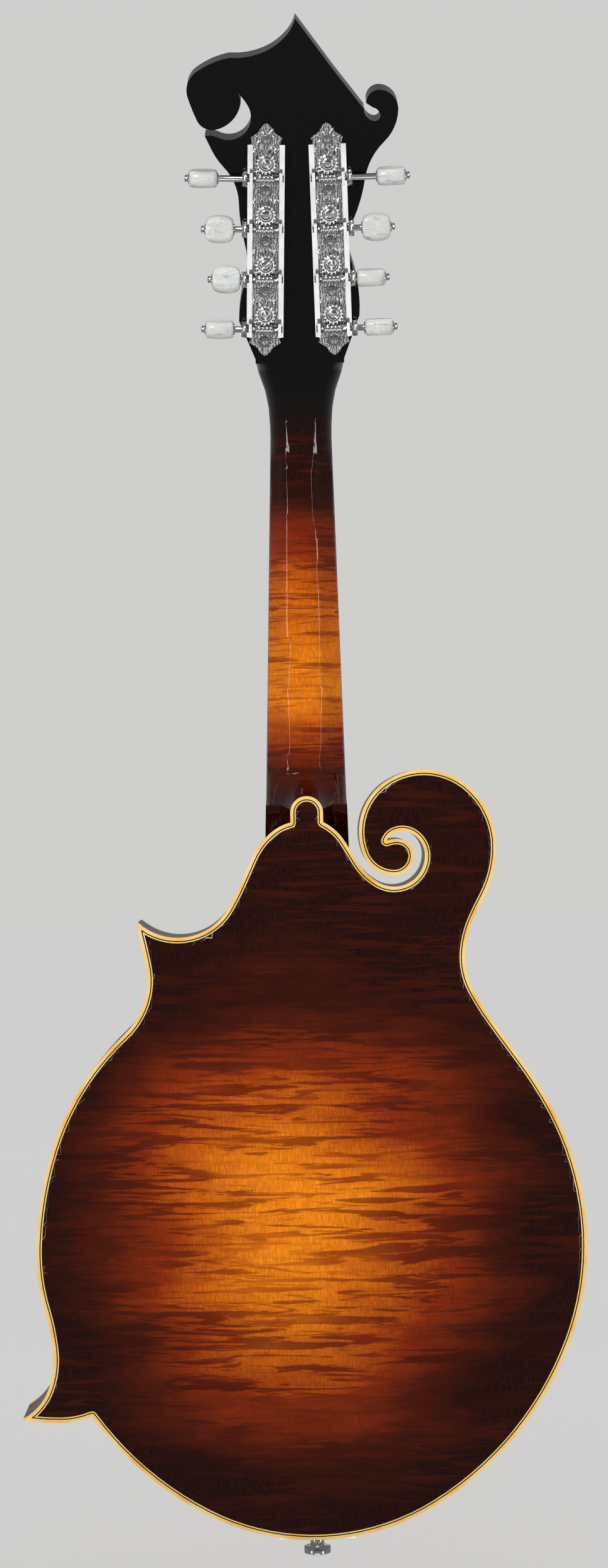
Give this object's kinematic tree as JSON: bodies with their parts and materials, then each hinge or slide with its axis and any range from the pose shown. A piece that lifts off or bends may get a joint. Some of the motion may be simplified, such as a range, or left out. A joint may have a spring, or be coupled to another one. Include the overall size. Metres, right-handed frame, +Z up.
{
  "type": "mandolin",
  "caption": "Carved arch-top mandolin with a scroll and two points, bound body and head, worm-gear tuners, movable bridge and sliding tailpiece cover",
  "frame": {"origin": "on the neck's centre line at the nut, level with the underside of the fingerboard, where a hanger's yoke holds the instrument", "axes": "+Z up the instrument towards the head, +X to the right seen from the back (bass side), +Y out of the front (strings)"},
  "size_m": [0.2599, 0.1249, 0.704],
  "materials": {
    "back_wood": "gloss sunburst lacquer on flamed maple, orange centre to near-black edge",
    "rib_wood": "gloss dark red-brown lacquer on flamed maple",
    "top_wood": "gloss sunburst lacquer on carved spruce",
    "neck_wood": "gloss lacquered maple, amber mid-neck, black head",
    "inside_wood": "bare spruce and maple, sanded",
    "binding_cream": "aged cream celluloid, lacquered",
    "purfling_black": "black ply under lacquer",
    "ebony": "oiled ebony, fine open grain",
    "black_gloss": "polished black",
    "nut_bone": "polished bone",
    "pearl": "pearloid, cloudy ivory",
    "nickel": "polished nickel plate",
    "brass": "turned brass, lightly dulled",
    "steel": "plain steel",
    "bronze_wire": "wound bronze"
  },
  "bodies": {
    "instrument": {"back_binding": "binding_cream", "back_plate": "back_wood", "back_purfling_black": "purfling_black", "bridge_base": "ebony", "bridge_posts": "brass", "end_pin": "nickel", "fingerboard": "ebony", "fingerboard_binding": "binding_cream", "frets": "nickel", "head_block": "inside_wood", "head_overlay": "black_gloss", "kerfed_linings": "inside_wood", "neck": "neck_wood", "nut": "nut_bone", "position_dots": "pearl", "post_bushings": "nickel", "rib_scroll_side": "rib_wood", "ribs_point_side": "rib_wood", "rim_blocks": "inside_wood", "small_screws": "steel", "strings_plain": "steel", "strings_wound": "bronze_wire", "tailpiece_base": "nickel", "tone_bars": "inside_wood", "top_binding": "binding_cream", "top_plate": "top_wood", "top_purfling_black": "purfling_black", "truss_rod": "steel", "truss_rod_cover": "black_gloss", "tuner_plate_left": "nickel", "tuner_plate_right": "nickel"},
    "saddle": {"bridge_saddle": "ebony"},
    "wheel_bass": {"bridge_wheel_bass": "brass"},
    "wheel_treble": {"bridge_wheel_treble": "brass"},
    "tailpiece_cover": {"tailpiece_cover": "nickel"},
    "knob_left_1": {"worm_shaft_left_1": "nickel", "button_left_1": "pearl"},
    "post_left_1": {"gear_post_left_1": "nickel"},
    "knob_left_2": {"worm_shaft_left_2": "nickel", "button_left_2": "pearl"},
    "post_left_2": {"gear_post_left_2": "nickel"},
    "knob_left_3": {"worm_shaft_left_3": "nickel", "button_left_3": "pearl"},
    "post_left_3": {"gear_post_left_3": "nickel"},
    "knob_left_4": {"worm_shaft_left_4": "nickel", "button_left_4": "pearl"},
    "post_left_4": {"gear_post_left_4": "nickel"},
    "knob_right_1": {"worm_shaft_right_1": "nickel", "button_right_1": "pearl"},
    "post_right_1": {"gear_post_right_1": "nickel"},
    "knob_right_2": {"worm_shaft_right_2": "nickel", "button_right_2": "pearl"},
    "post_right_2": {"gear_post_right_2": "nickel"},
    "knob_right_3": {"worm_shaft_right_3": "nickel", "button_right_3": "pearl"},
    "post_right_3": {"gear_post_right_3": "nickel"},
    "knob_right_4": {"worm_shaft_right_4": "nickel", "button_right_4": "pearl"},
    "post_right_4": {"gear_post_right_4": "nickel"}
  },
  "joints": [
    {"name": "knob_left_1_turn", "type": "hinge", "parent": "instrument", "child": "knob_left_1", "pos_m": [-0.01403, -0.06031, 0.11074], "axis": [-0.9997, -0.0086, 0.0229], "continuous": true},
    {"name": "post_left_1_turn", "type": "hinge", "parent": "instrument", "child": "post_left_1", "pos_m": [-0.01386, -0.05854, 0.11887], "axis": [0, -0.9367, -0.3502], "continuous": true},
    {"name": "knob_left_2_turn", "type": "hinge", "parent": "instrument", "child": "knob_left_2", "pos_m": [-0.01459, -0.05225, 0.08919], "axis": [-0.9997, -0.0086, 0.0229], "continuous": true},
    {"name": "post_left_2_turn", "type": "hinge", "parent": "instrument", "child": "post_left_2", "pos_m": [-0.01442, -0.05048, 0.09732], "axis": [0, -0.9367, -0.3502], "continuous": true},
    {"name": "knob_left_3_turn", "type": "hinge", "parent": "instrument", "child": "knob_left_3", "pos_m": [-0.01515, -0.04419, 0.06763], "axis": [-0.9997, -0.0086, 0.0229], "continuous": true},
    {"name": "post_left_3_turn", "type": "hinge", "parent": "instrument", "child": "post_left_3", "pos_m": [-0.01498, -0.04243, 0.07576], "axis": [0, -0.9367, -0.3502], "continuous": true},
    {"name": "knob_left_4_turn", "type": "hinge", "parent": "instrument", "child": "knob_left_4", "pos_m": [-0.01571, -0.03613, 0.04608], "axis": [-0.9997, -0.0086, 0.0229], "continuous": true},
    {"name": "post_left_4_turn", "type": "hinge", "parent": "instrument", "child": "post_left_4", "pos_m": [-0.01554, -0.03437, 0.05421], "axis": [0, -0.9367, -0.3502], "continuous": true},
    {"name": "knob_right_1_turn", "type": "hinge", "parent": "instrument", "child": "knob_right_1", "pos_m": [0.01403, -0.06031, 0.11074], "axis": [0.9997, -0.0086, 0.0229], "continuous": true},
    {"name": "post_right_1_turn", "type": "hinge", "parent": "instrument", "child": "post_right_1", "pos_m": [0.01386, -0.05854, 0.11887], "axis": [0, -0.9367, -0.3502], "continuous": true},
    {"name": "knob_right_2_turn", "type": "hinge", "parent": "instrument", "child": "knob_right_2", "pos_m": [0.01459, -0.05225, 0.08919], "axis": [0.9997, -0.0086, 0.0229], "continuous": true},
    {"name": "post_right_2_turn", "type": "hinge", "parent": "instrument", "child": "post_right_2", "pos_m": [0.01442, -0.05048, 0.09732], "axis": [0, -0.9367, -0.3502], "continuous": true},
    {"name": "knob_right_3_turn", "type": "hinge", "parent": "instrument", "child": "knob_right_3", "pos_m": [0.01515, -0.04419, 0.06763], "axis": [0.9997, -0.0086, 0.0229], "continuous": true},
    {"name": "post_right_3_turn", "type": "hinge", "parent": "instrument", "child": "post_right_3", "pos_m": [0.01498, -0.04243, 0.07576], "axis": [0, -0.9367, -0.3502], "continuous": true},
    {"name": "knob_right_4_turn", "type": "hinge", "parent": "instrument", "child": "knob_right_4", "pos_m": [0.01571, -0.03613, 0.04608], "axis": [0.9997, -0.0086, 0.0229], "continuous": true},
    {"name": "post_right_4_turn", "type": "hinge", "parent": "instrument", "child": "post_right_4", "pos_m": [0.01554, -0.03437, 0.05421], "axis": [0, -0.9367, -0.3502], "continuous": true},
    {"name": "wheel_bass_turn", "type": "hinge", "parent": "saddle", "child": "wheel_bass", "pos_m": [0.0195, 0.03513, -0.34988], "axis": [0, 1, 0], "range_deg": [-675, 0]},
    {"name": "wheel_treble_turn", "type": "hinge", "parent": "saddle", "child": "wheel_treble", "pos_m": [-0.0195, 0.03513, -0.34988], "axis": [0, 1, 0], "range_deg": [-675, 0]},
    {"name": "saddle_height", "type": "slide", "parent": "instrument", "child": "saddle", "axis": [0, 1, 0], "range_m": [-0.0015, 0]},
    {"name": "tailpiece_cover_slide", "type": "slide", "parent": "instrument", "child": "tailpiece_cover", "axis": [0, 0, -1], "range_m": [0, 0.06]}
  ],
  "couplings": [
    {"joint": "post_left_1_turn", "follows": "knob_left_1_turn", "ratio": 0.0625},
    {"joint": "post_left_2_turn", "follows": "knob_left_2_turn", "ratio": 0.0625},
    {"joint": "post_left_3_turn", "follows": "knob_left_3_turn", "ratio": 0.0625},
    {"joint": "post_left_4_turn", "follows": "knob_left_4_turn", "ratio": 0.0625},
    {"joint": "post_right_1_turn", "follows": "knob_right_1_turn", "ratio": -0.0625},
    {"joint": "post_right_2_turn", "follows": "knob_right_2_turn", "ratio": -0.0625},
    {"joint": "post_right_3_turn", "follows": "knob_right_3_turn", "ratio": -0.0625},
    {"joint": "post_right_4_turn", "follows": "knob_right_4_turn", "ratio": -0.0625},
    {"joint": "saddle_height", "follows": "wheel_bass_turn", "m_per_rad": 0.00012732},
    {"joint": "wheel_treble_turn", "follows": "wheel_bass_turn", "ratio": 1}
  ]
}
